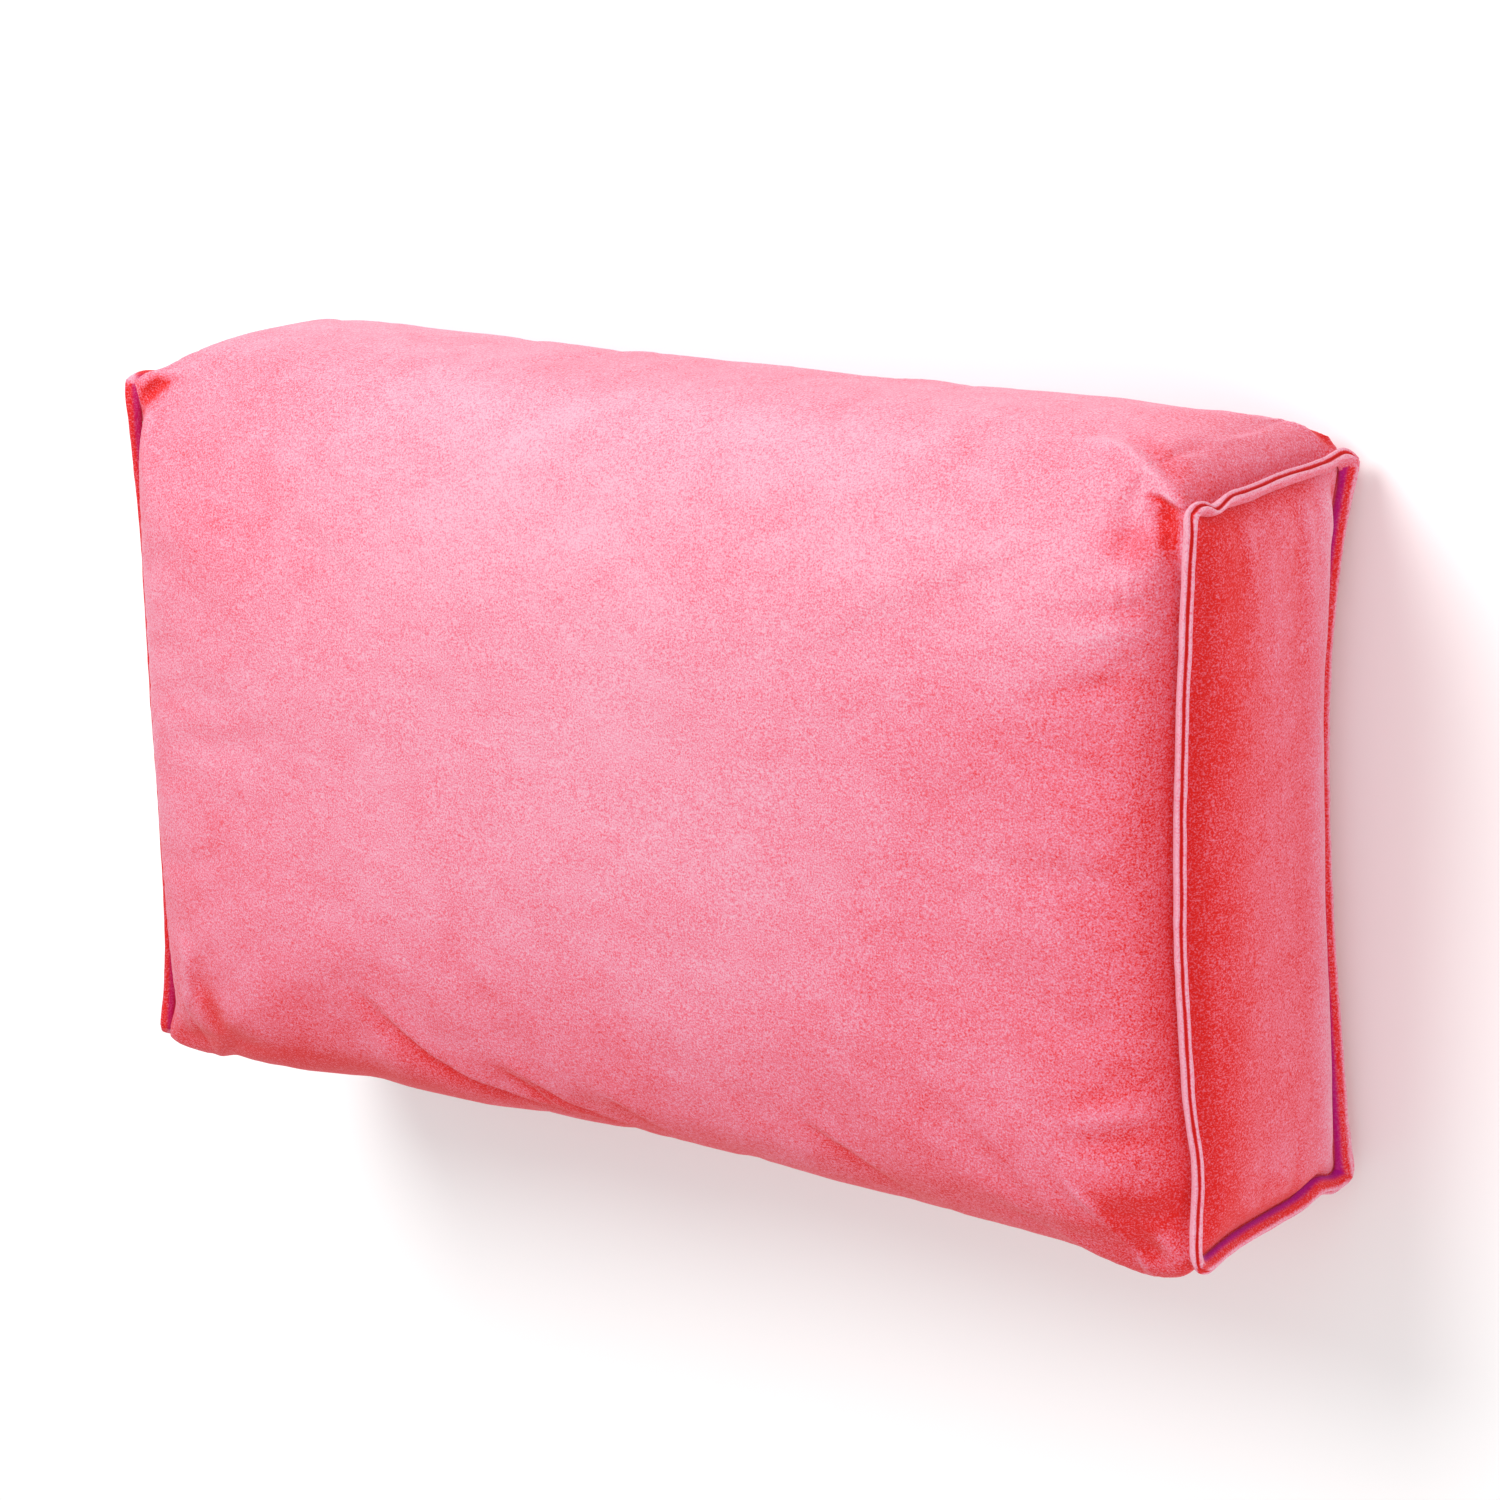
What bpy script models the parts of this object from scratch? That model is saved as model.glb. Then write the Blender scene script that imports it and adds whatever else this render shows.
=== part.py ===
# Lumbar support pillow: a filled, box-shaped cushion in plush cloth, lying on its back.
# One long panel wraps its front, top, back and bottom. Two rectangular end panels close it.
# Each end is joined by a seam whose two cut edges stand outside as a raised double lip.
# X runs along the width, Y towards the pillow's top edge and Z out of its front face.

import bisect
import math

import bmesh
import bpy
from mathutils import Vector

MM = 0.001

# Overall size from corner to corner of the raised seams, in mm
WIDTH = 550.0
HEIGHT = 300.0
DEPTH = 120.0
BACK_CORNERS_ABOVE_FLOOR = 7.0

# Raised seam: how far it stands off its stitch line, and its double lip, in mm
SEAM_STAND = 7.6
LIP_HALF_THICKNESS = 2.4
LIP_GROOVE_DEPTH = 1.1
STITCH_GAP = 0.4
SEAM_SQUARENESS = 60.0
EAR_GROWTH = 0.3
EAR_SHARPNESS = 12

# End panels, in mm
PANEL_THICKNESS = 2.2
PANEL_EDGE_THICKNESS = 0.5
PANEL_EDGE_FROM_SEAM = 2.0
PANEL_TO_FILLING = 1.2
FILLING_EDGE_SET_BACK = 0.9
PANEL_CROWN = 15.5

# Softness of the change from the flat spot on the back to the rounded sides, in mm
FLAT_SPOT_BLEND = 4.0

# Grid of the solids: cells along the height and depth, and between the end stations
CELLS_HIGH = 24
CELLS_DEEP = 12
CELLS_MIDDLE = 14
CROWDING = 0.82

# Distances from each end seam at which the body has a section, in mm
END_STATIONS = (0.0, 2.6, 6.0, 10.5, 16.0, 24.0, 36.0, 52.0, 72.0, 98.0, 130.0)

# Swell of each section past the seam line, in mm, how square its corners are, where 30 is
# almost sharp and 2 is an ellipse, and how much of the swell its front corners share
SECTION_COLUMNS = (
    "from_left", "top", "bottom", "front", "back", "square_top", "square_bottom", "corner_share"
)
SECTIONS = (
    (0.0, 0.0, 0.0, 0.0, 0.0, 60.0, 60.0, 0.0),
    (2.6, 2.1, 2.1, 2.1, 2.0, 40.0, 40.0, 0.1),
    (6.0, 11.0, 10.0, 12.0, 6.0, 20.0, 24.0, 0.2),
    (16.0, 17.0, 14.0, 20.0, 10.0, 8.5, 17.0, 0.35),
    (36.0, 23.3, 13.6, 25.0, 13.0, 4.8, 10.5, 0.6),
    (70.0, 26.3, 14.0, 27.0, 15.0, 3.8, 6.3, 0.85),
    (130.0, 25.4, 14.0, 28.5, 16.5, 3.8, 4.5, 1.0),
    (269.6, 24.9, 10.5, 29.0, 17.0, 3.9, 4.0, 1.0),
    (409.3, 24.8, 12.0, 28.5, 16.5, 3.9, 4.5, 1.0),
    (469.3, 25.6, 12.6, 27.0, 15.0, 3.9, 6.0, 0.85),
    (503.3, 23.8, 14.5, 25.0, 13.0, 4.8, 9.0, 0.6),
    (523.3, 19.5, 16.5, 20.0, 10.0, 9.0, 13.0, 0.35),
    (533.3, 13.0, 11.0, 12.0, 6.0, 20.0, 24.0, 0.2),
    (536.7, 2.1, 2.1, 2.1, 2.0, 40.0, 40.0, 0.1),
    (539.3, 0.0, 0.0, 0.0, 0.0, 60.0, 60.0, 0.0),
)

# How sharply the swell stops at the corners, and how much of the lag the back corners lose
CORNER_ONSET = 5
BACK_CORNER_SWELL = 0.7

# Swell of an end panel against the distance from its seams, as a share of the crown
SWELL_FROM_LONG_SEAM = ((0.0, 0.0), (2.5, 0.13), (6.0, 0.5), (12.0, 0.83), (22.0, 0.96), (54.0, 1.0))
SWELL_FROM_SHORT_SEAM = (
    (0.0, 0.0), (2.5, 0.12), (6.0, 0.36), (12.0, 0.55), (25.0, 0.7), (70.0, 0.9), (145.0, 1.0)
)

# Long sides of the seam loops, drawn in between their corners: the most, in mm, on the front
# and on the back, and how much nearer the top edge than the bottom it lies
SEAM_PULL_COLUMNS = ("front", "front_upward", "back", "back_upward")
SEAM_PULL = {-1: (5.8, -0.3, 5.0, 0.0), 1: (5.8, -0.5, 10.8, 0.5)}

# Folds and pressed spots of the wrap, in mm: where each starts and ends, its half width,
# and how far it stands up, or sinks in where negative
FOLD_COLUMNS = ("start", "end", "half_width", "rise")
FOLDS = (
    ((260.0, 138.0, 128.0), (263.0, 142.0, 124.0), 9.0, -3.5),
    ((-262.0, 140.0, 125.0), (-262.0, 140.0, 125.0), 9.0, -3.0),
    ((252.0, -134.0, 136.0), (258.0, -140.0, 130.0), 12.0, -4.5),
    ((-226.0, -118.0, 146.0), (-246.0, -134.0, 140.0), 18.0, -2.5),
    ((262.0, 154.0, 24.0), (262.0, 154.0, 24.0), 8.0, -3.0),
    ((-122.0, -112.0, 146.0), (-95.0, -131.0, 139.0), 9.0, -1.6),
    ((-95.0, -131.0, 139.0), (5.0, -142.0, 128.0), 9.0, -2.4),
    ((106.0, -119.0, 143.0), (138.0, -140.0, 134.0), 8.0, -1.6),
    ((238.0, -116.0, 145.0), (257.0, -151.0, 122.0), 7.0, 2.6),
    ((222.0, 165.0, 107.0), (239.0, 162.0, 111.0), 9.0, 1.8),
    ((239.0, 162.0, 111.0), (265.0, 145.0, 121.0), 9.0, 2.6),
)

# Colours of the plush, wrap and end and lips, as linear values
PLUSH_PINK = (0.87, 0.16, 0.27, 1.0)
PLUSH_PINK_END = (0.78, 0.11, 0.18, 1.0)
PLUSH_PINK_SEAM = (0.72, 0.09, 0.16, 1.0)

SEAM_OFFSET = SEAM_STAND / math.sqrt(2)
SEAM_WIDTH = WIDTH - 2 * SEAM_OFFSET
SEAM_HEIGHT = HEIGHT - 2 * SEAM_OFFSET
SEAM_DEPTH = DEPTH - 2 * SEAM_OFFSET
MIDDLE_Z = BACK_CORNERS_ABOVE_FLOOR + DEPTH / 2


def smooth_through(places, values, at):
    # A cubic through the values, with its slope at each taken from both neighbours
    last = len(places) - 1
    low = min(max(bisect.bisect_right(places, at) - 1, 0), last - 1)

    def slope(index):
        before = max(index - 1, 0)
        after = min(index + 1, last)
        return (values[after] - values[before]) / (places[after] - places[before])

    span = places[low + 1] - places[low]
    t = (at - places[low]) / span
    return (
        (2 * t**3 - 3 * t**2 + 1) * values[low]
        + (t**3 - 2 * t**2 + t) * span * slope(low)
        + (3 * t**2 - 2 * t**3) * values[low + 1]
        + (t**3 - t**2) * span * slope(low + 1)
    )


def section_value(column, from_left):
    places = [row[0] for row in SECTIONS]
    values = [row[SECTION_COLUMNS.index(column)] for row in SECTIONS]
    return smooth_through(places, values, from_left)


def crowded(t):
    # Grid lines lie closer together near -1 and 1, where the form turns
    angle = CROWDING * math.pi / 2
    return math.sin(angle * t) / math.sin(angle)


def rounded_box(v, w, half_height, half_depth, squareness):
    # A point of the square -1..1 moved to the same place in a box with rounded corners
    reach = max(abs(v), abs(w))
    if reach == 0:
        return 0.0, 0.0
    corner = (abs(v) / reach) ** squareness + (abs(w) / reach) ** squareness
    shrink = corner ** (-1 / squareness)
    return half_height * v * shrink, half_depth * w * shrink


def seam_plane(side, v, w):
    # Where the seam loop lies along X: drawn in between its corners
    pull = dict(zip(SEAM_PULL_COLUMNS, SEAM_PULL[side]))
    front = pull["front"] * (1 + pull["front_upward"] * v)
    back = pull["back"] * (1 + pull["back_upward"] * v)
    drawn_in = (1 - v * v) * (front * (1 + w) + back * (1 - w)) / 2
    return side * (SEAM_WIDTH / 2 - drawn_in)


def seam_frame(side, v, w):
    # A point of the stitch line, the way the lips stand there, and the way across them.
    # Both are longer at the corners, where the cut edges stay square and form ears.
    y, z = rounded_box(v, w, SEAM_HEIGHT / 2, SEAM_DEPTH / 2, SEAM_SQUARENESS)
    normal_y = math.copysign(abs(v) ** (SEAM_SQUARENESS - 1) / SEAM_HEIGHT, v)
    normal_z = math.copysign(abs(w) ** (SEAM_SQUARENESS - 1) / SEAM_DEPTH, w)
    place = Vector((seam_plane(side, v, w), y, MIDDLE_Z + z))
    normal = Vector((0, normal_y, normal_z)) / max(abs(normal_y), abs(normal_z))
    ear = 1 + EAR_GROWTH * abs(v * w) ** EAR_SHARPNESS
    outward = (Vector((side, 0, 0)) + normal) * ear / math.sqrt(2)
    across = (Vector((-side, 0, 0)) + normal) / math.sqrt(2)
    return place, outward, across


def above_floor(z):
    # Flat where the pillow rests, with a soft change to the rounded back
    if z >= FLAT_SPOT_BLEND:
        return z
    if z <= -FLAT_SPOT_BLEND:
        return 0.0
    return (z + FLAT_SPOT_BLEND) ** 2 / (4 * FLAT_SPOT_BLEND)


def wrap_point(from_left, v, w):
    # Near the ends the sides swell and the corners lag behind, so the corners stay as ears,
    # less so at the back
    share = section_value("corner_share", from_left)
    if w < 0:
        share += (1 - share) * BACK_CORNER_SWELL
    top_or_bottom = share + (1 - share) * (1 - abs(w) ** CORNER_ONSET)
    front_or_back = share + (1 - share) * (1 - abs(v) ** (2 * CORNER_ONSET))
    upper = section_value("top" if v > 0 else "bottom", from_left) * top_or_bottom
    outer = section_value("front" if w > 0 else "back", from_left) * front_or_back
    squareness = section_value("square_top" if v > 0 else "square_bottom", from_left)
    y, z = rounded_box(v, w, SEAM_HEIGHT / 2 + upper, SEAM_DEPTH / 2 + outer, squareness)
    across = from_left / SEAM_WIDTH
    x = seam_plane(-1, v, w) * (1 - across) + seam_plane(1, v, w) * across
    return Vector((x, y, above_floor(MIDDLE_Z + z)))


def distance_to_line(place, start, end):
    line = end - start
    if line.length == 0:
        return (place - start).length
    t = min(max((place - start).dot(line) / line.length_squared, 0), 1)
    return (place - start - line * t).length


def fold_rise(place):
    # How far the folds lift or sink the cloth here, with a soft bell shape across each
    rise = 0.0
    for row in FOLDS:
        fold = dict(zip(FOLD_COLUMNS, row))
        away = distance_to_line(place, Vector(fold["start"]), Vector(fold["end"]))
        rise += fold["rise"] * math.exp(-((away / fold["half_width"]) ** 2))
    return rise


def panel_swell(v, w):
    # Crown of an end panel, nothing at its seams
    from_short_seam = (1 - abs(v)) * SEAM_HEIGHT / 2
    from_long_seam = (1 - abs(w)) * SEAM_DEPTH / 2
    swell = PANEL_CROWN
    tables = ((SWELL_FROM_SHORT_SEAM, from_short_seam), (SWELL_FROM_LONG_SEAM, from_long_seam))
    for table, distance in tables:
        places, shares = zip(*table)
        swell *= smooth_through(places, shares, min(distance, places[-1]))
    return swell


def panel_point(side, v, w, inset):
    # The end panel's outer surface, or a surface that lies under it by the inset
    y, z = rounded_box(v, w, SEAM_HEIGHT / 2, SEAM_DEPTH / 2, SEAM_SQUARENESS)
    x = seam_plane(side, v, w) + side * (panel_swell(v, w) - inset)
    return Vector((x, y, MIDDLE_Z + z))


def grid_box(cells):
    # A cube from -1 to 1 cut into a grid along each axis
    bm = bmesh.new()
    bmesh.ops.create_cube(bm, size=2.0)
    for axis, count in enumerate(cells):
        along = [e for e in bm.edges if abs(e.verts[0].co[axis] - e.verts[1].co[axis]) > 1.0]
        if count > 1:
            bmesh.ops.subdivide_edges(bm, edges=along, cuts=count - 1)
    return bm


def on_edge(v, w):
    return max(abs(v), abs(w)) > 0.9999


def add_object(name, bm, colour):
    for vert in bm.verts:
        vert.co *= MM
    bmesh.ops.recalc_face_normals(bm, faces=bm.faces)
    mesh = bpy.data.meshes.new(name)
    bm.to_mesh(mesh)
    bm.free()
    mesh.shade_smooth()
    material = bpy.data.materials.new(name + "_plush")
    material.use_nodes = True
    surface = material.node_tree.nodes["Principled BSDF"]
    surface.inputs["Base Color"].default_value = colour
    surface.inputs["Roughness"].default_value = 0.9
    surface.inputs["Metallic"].default_value = 0.0
    mesh.materials.append(material)
    piece = bpy.data.objects.new(name, mesh)
    bpy.context.scene.collection.objects.link(piece)
    return piece


def make_body():
    # The filled wrap, closed at each end just under the end panel
    first = END_STATIONS[-1]
    span = SEAM_WIDTH - 2 * first
    middle = [first + span * n / CELLS_MIDDLE for n in range(1, CELLS_MIDDLE)]
    stations = [*END_STATIONS, *middle, *(SEAM_WIDTH - d for d in reversed(END_STATIONS))]
    cells = len(stations) - 1
    bm = grid_box((cells, CELLS_HIGH, CELLS_DEEP))
    cloth = []
    for vert in bm.verts:
        u, v, w = vert.co.x, crowded(vert.co.y), crowded(vert.co.z)
        station = round((u + 1) / 2 * cells)
        side = -1 if station == 0 else 1
        at_end = station in (0, cells)
        if at_end and on_edge(v, w):
            place, outward, across = seam_frame(side, v, w)
            vert.co = place - outward * STITCH_GAP + across * (STITCH_GAP / 2)
            vert.co.x -= side * FILLING_EDGE_SET_BACK
        elif at_end:
            vert.co = panel_point(side, v, w, PANEL_THICKNESS + PANEL_TO_FILLING)
        else:
            vert.co = wrap_point(stations[station], v, w)
            cloth.append(vert)
    bm.normal_update()
    for vert, rise in [(vert, fold_rise(vert.co)) for vert in cloth]:
        vert.co += vert.normal * rise
    return add_object("pillow_body", bm, PLUSH_PINK)


def make_end_panel(name, side):
    bm = grid_box((1, CELLS_HIGH, CELLS_DEEP))
    for vert in bm.verts:
        outer = vert.co.x * side > 0
        v, w = crowded(vert.co.y), crowded(vert.co.z)
        if on_edge(v, w):
            place, outward, across = seam_frame(side, v, w)
            vert.co = place - outward * STITCH_GAP - across * PANEL_EDGE_FROM_SEAM
            if not outer:
                vert.co.x -= side * PANEL_EDGE_THICKNESS
        else:
            vert.co = panel_point(side, v, w, 0.0 if outer else PANEL_THICKNESS)
    return add_object(name, bm, PLUSH_PINK_END)


def lip_profile():
    # The double lip, from one root round the groove between the lips to the other root,
    # as distance off the stitch line and distance across
    thick = LIP_HALF_THICKNESS
    half = (
        (0.0, thick * 0.9),
        (SEAM_STAND * 0.4, thick),
        (SEAM_STAND * 0.82, thick * 0.95),
        (SEAM_STAND, thick * 0.5),
    )
    other = [(stand, -across) for stand, across in reversed(half)]
    return [*half, (SEAM_STAND - LIP_GROOVE_DEPTH, 0.0), *other]


def make_raised_seam(name, side):
    # The lip's profile carried round the end's four sides
    walk = [(1.0, crowded(-1 + 2 * n / CELLS_DEEP)) for n in range(CELLS_DEEP)]
    walk += [(crowded(1 - 2 * n / CELLS_HIGH), 1.0) for n in range(CELLS_HIGH)]
    walk += [(-1.0, crowded(1 - 2 * n / CELLS_DEEP)) for n in range(CELLS_DEEP)]
    walk += [(crowded(-1 + 2 * n / CELLS_HIGH), -1.0) for n in range(CELLS_HIGH)]
    bm = bmesh.new()
    rings = []
    for v, w in walk:
        place, outward, across = seam_frame(side, v, w)
        ring = [bm.verts.new(place + outward * a + across * b) for a, b in lip_profile()]
        rings.append(ring)
    for n, ring in enumerate(rings):
        after = rings[(n + 1) % len(rings)]
        for k in range(len(ring)):
            nxt = (k + 1) % len(ring)
            bm.faces.new((ring[k], ring[nxt], after[nxt], after[k]))
    return add_object(name, bm, PLUSH_PINK_SEAM)


def centre_over_floor(pieces):
    # The origin goes to the middle of the pillow's box, on the floor
    corners = [v.co for piece in pieces for v in piece.data.vertices]
    low = Vector(min(c[k] for c in corners) for k in range(3))
    high = Vector(max(c[k] for c in corners) for k in range(3))
    shift = Vector(((low.x + high.x) / 2, (low.y + high.y) / 2, low.z))
    for piece in pieces:
        for vert in piece.data.vertices:
            vert.co -= shift


for old in list(bpy.data.objects):
    bpy.data.objects.remove(old, do_unlink=True)

parts = [
    make_body(),
    make_end_panel("end_panel_left", -1),
    make_end_panel("end_panel_right", 1),
    make_raised_seam("raised_seam_left", -1),
    make_raised_seam("raised_seam_right", 1),
]
centre_over_floor(parts)
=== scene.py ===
import math

import bmesh
import bpy
import numpy as np
from mathutils import Matrix, Vector, noise
from mathutils.kdtree import KDTree


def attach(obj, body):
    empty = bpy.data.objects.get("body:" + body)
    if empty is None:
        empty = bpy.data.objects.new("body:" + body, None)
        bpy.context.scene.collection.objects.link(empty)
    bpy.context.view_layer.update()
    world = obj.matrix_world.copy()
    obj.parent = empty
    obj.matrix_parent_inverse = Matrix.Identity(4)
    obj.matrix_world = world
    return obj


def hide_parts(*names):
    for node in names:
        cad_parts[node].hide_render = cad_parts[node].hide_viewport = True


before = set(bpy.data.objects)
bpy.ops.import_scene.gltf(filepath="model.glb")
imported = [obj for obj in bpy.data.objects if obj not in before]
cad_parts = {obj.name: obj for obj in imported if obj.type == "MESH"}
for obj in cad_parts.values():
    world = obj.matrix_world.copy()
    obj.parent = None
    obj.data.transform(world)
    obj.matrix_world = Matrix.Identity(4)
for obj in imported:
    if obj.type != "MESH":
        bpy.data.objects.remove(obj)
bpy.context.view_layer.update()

mm = 0.001
pillowMiddle = Vector((0.7, -4.9, 0)) * mm
print("frame loaded:", ", ".join(sorted(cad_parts)))


def inWorld(place):
    return Vector(place) * mm + pillowMiddle


def onlySelect(piece):
    bpy.ops.object.select_all(action="DESELECT")
    piece.select_set(True)
    bpy.context.view_layer.objects.active = piece


def addModifier(piece, kind, name, **settings):
    modifier = piece.modifiers.new(name, kind)
    for key, value in settings.items():
        setattr(modifier, key, value)
    return modifier


def applyModifier(piece, kind, name, **settings):
    addModifier(piece, kind, name, **settings)
    onlySelect(piece)
    bpy.ops.object.modifier_apply(modifier=name)


def copyOfSolid(node, name):
    # The solid's own surface as clean quads, for a piece that takes its place
    piece = bpy.data.objects.new(name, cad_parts[node].data.copy())
    bpy.context.scene.collection.objects.link(piece)
    piece.data.name = name
    piece.data.materials.clear()
    onlySelect(piece)
    bpy.ops.mesh.customdata_custom_splitnormals_clear()
    bpy.ops.object.mode_set(mode="EDIT")
    bpy.ops.mesh.select_all(action="SELECT")
    bpy.ops.mesh.remove_doubles(threshold=0.00001)
    widest = math.radians(70)
    bpy.ops.mesh.tris_convert_to_quads(face_threshold=widest, shape_threshold=widest)
    bpy.ops.mesh.normals_make_consistent(inside=False)
    bpy.ops.object.mode_set(mode="OBJECT")
    return piece


def sharpenEdges(piece, fromAngle):
    # Edges that turn more than this stay crisp when the piece is rounded
    bm = bmesh.new()
    bm.from_mesh(piece.data)
    layers = bm.edges.layers.float
    crease = layers.get("crease_edge") or layers.new("crease_edge")
    for edge in bm.edges:
        edge[crease] = 1.0 if edge.calc_face_angle(0.0) > math.radians(fromAngle) else 0.0
    bm.to_mesh(piece.data)
    bm.free()


def sharpenCorners(piece):
    # The points at the ears stay pointed when the piece is rounded
    points = readPoints(piece)
    values = np.zeros(len(points))
    gaps = []
    for corner in earCorners:
        distance = distanceTo(points, corner)
        if distance.min() < stitchLook["earReach"] * mm:
            values[distance.argmin()] = 1.0
            gaps.append(round(float(distance.min()) / mm, 2))
    writeValues(piece, "crease_vert", values)
    print(piece.name, "ear points at", gaps, "mm")


def readPoints(piece):
    points = np.empty(len(piece.data.vertices) * 3)
    piece.data.vertices.foreach_get("co", points)
    return points.reshape(-1, 3)


def readNormals(piece):
    normals = np.empty(len(piece.data.vertices) * 3, np.float32)
    piece.data.vertex_normals.foreach_get("vector", normals)
    return normals.reshape(-1, 3).astype(float)


def writePoints(piece, points):
    piece.data.vertices.foreach_set("co", points.ravel())
    piece.data.update()


def writeValues(piece, name, values):
    attributes = piece.data.attributes
    attribute = attributes.get(name) or attributes.new(name, "FLOAT", "POINT")
    attribute.data.foreach_set("value", np.asarray(values, np.float32))


def distanceTo(points, place):
    return np.linalg.norm(points - np.array(place), axis=1)


def bell(distance, reach):
    # 1 on the spot, falling softly to nothing beyond the reach in mm
    return np.exp(-(distance / (reach * mm)) ** 2)


def easeBetween(low, high, values):
    t = np.clip((values - low) / (high - low), 0, 1)
    return t * t * (3 - 2 * t)


def easeOver(band, distance):
    # From 0 at the band's first distance to 1 at its second, both in mm
    return easeBetween(band[0] * mm, band[1] * mm, distance)


def softNoise(points, perMetre, seed=0.0):
    # Smooth noise of about -1 to 1 at each point
    offset = Vector((seed, seed * 1.7, -seed))
    return np.array([noise.noise(Vector(p) * perMetre + offset) for p in points])


def slowPart(piece, values, rounds):
    # The part of a value at each point that changes slowly over the mesh
    ends = np.empty(len(piece.data.edges) * 2, np.int32)
    piece.data.edges.foreach_get("vertices", ends)
    first, second = ends.reshape(-1, 2).T
    count = len(piece.data.vertices)
    both, others = np.concatenate((first, second)), np.concatenate((second, first))
    neighbours = np.bincount(both, minlength=count)[:, None]
    slow = values.copy()
    for step in range(rounds):
        sums = [np.bincount(both, slow[others, axis], count) for axis in range(3)]
        slow = 0.3 * slow + 0.7 * np.stack(sums, axis=1) / neighbours
    return slow


def alongPath(points, path):
    # Each point's distance to a bent line, how far along it that is (0 to 1), the way off the
    # line and the way along it
    knots = np.array([inWorld(p) for p in path])
    best = np.full(len(points), 1e9)
    share = np.zeros(len(points))
    off = np.zeros((len(points), 3))
    way = np.zeros((len(points), 3))
    legs = np.linalg.norm(np.diff(knots, axis=0), axis=1)
    done = 0.0
    for start, end, leg in zip(knots[:-1], knots[1:], legs):
        line = end - start
        t = np.clip(((points - start) @ line) / max(leg * leg, 1e-12), 0, 1)
        away = points - (start + t[:, None] * line)
        distance = np.linalg.norm(away, axis=1)
        closer = distance < best
        best[closer] = distance[closer]
        share[closer] = (done + t[closer] * leg) / legs.sum()
        off[closer] = away[closer]
        way[closer] = line / max(leg, 1e-9)
        done += leg
    return best, share, off, way


# Camera: the photo's angle to the pillow's face
cameraLook = {
    "turned": 37.73, "raised": 14.39, "rolled": -1.48,      # degrees
    "distance": 1.8911, "right": 0.01627, "up": 0.00624, "aimAbove": 0.067,     # metres
    "lens": 108.0,
}

turned, raised, rolled = (math.radians(cameraLook[k]) for k in ("turned", "raised", "rolled"))
forward = Vector((-math.sin(turned) * math.cos(raised), -math.sin(raised),
                  -math.cos(turned) * math.cos(raised)))
levelRight = Vector((math.cos(turned), 0, -math.sin(turned)))
levelUp = levelRight.cross(forward)
viewRight = levelRight * math.cos(rolled) + levelUp * math.sin(rolled)
viewUp = levelUp * math.cos(rolled) - levelRight * math.sin(rolled)
cameraData = bpy.data.cameras.new("camera")
cameraData.lens = cameraLook["lens"]
cameraData.sensor_width = 36.0
camera = bpy.data.objects.new("camera", cameraData)
bpy.context.scene.collection.objects.link(camera)
camera.matrix_world = Matrix((
    (viewRight.x, viewUp.x, -forward.x, 0),
    (viewRight.y, viewUp.y, -forward.y, 0),
    (viewRight.z, viewUp.z, -forward.z, 0),
    (0, 0, 0, 1),
))
aim = pillowMiddle + Vector((0, 0, cameraLook["aimAbove"]))
camera.location = (aim - forward * cameraLook["distance"] + viewRight * cameraLook["right"]
                   + viewUp * cameraLook["up"])
bpy.context.scene.camera = camera
print("camera placed")


# Stitch lines: where each end panel is sewn to the wrap, which all pieces are shaped from
stitchLook = {
    "halfWidth": 269.6, "halfHeight": 144.6, "halfDepth": 54.6, "middleZ": 67.0,
    # how far the long sides are drawn in, front and back, and how that leans to the top
    "drawnIn": {-1: (5.8, -0.3, 5.0, 0.0), 1: (5.8, -0.5, 10.8, 0.5)},
    "earReach": 6.0,        # mm, how near an ear a piece's own point lies
}


def stitchLine(side, steps=160):
    # Places round the end in metres, with the ways that the lips stand and lie across there
    front, frontLean, back, backLean = stitchLook["drawnIn"][side]
    rows = []
    for run in range(4):
        for n in range(steps):
            t = -1 + 2 * (n + 0.5) / steps
            v, w = ((1, t), (-t, 1), (-1, -t), (t, -1))[run]
            away = Vector(((0, 1, 0), (0, 0, 1), (0, -1, 0), (0, 0, -1))[run])
            atFront = front * (1 + frontLean * v) * (1 + w)
            atBack = back * (1 + backLean * v) * (1 - w)
            pull = (1 - v * v) * (atFront + atBack) / 2
            place = inWorld((side * (stitchLook["halfWidth"] - pull), v * stitchLook["halfHeight"],
                             stitchLook["middleZ"] + w * stitchLook["halfDepth"]))
            out = (Vector((side, 0, 0)) + away) / math.sqrt(2)
            across = (Vector((-side, 0, 0)) + away) / math.sqrt(2)
            rows.append((*place, *out, *across, run))
    return np.array(rows)


stitches = {side: stitchLine(side) for side in (-1, 1)}
ears = [(side, v, w) for side in (-1, 1) for v in (-1, 1) for w in (-1, 1)]
earCorners = [inWorld((side * stitchLook["halfWidth"], v * stitchLook["halfHeight"],
                       stitchLook["middleZ"] + w * stitchLook["halfDepth"])) for side, v, w in ears]


def nearestStitch(points, side=0):
    rows = stitches[side] if side else np.vstack([stitches[-1], stitches[1]])
    tree = KDTree(len(rows))
    for index, row in enumerate(rows):
        tree.insert(row[:3], index)
    tree.balance()
    found = np.array([tree.find(p)[1] for p in points])
    near = rows[found]
    return np.linalg.norm(points - near[:, :3], axis=1), near


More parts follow.
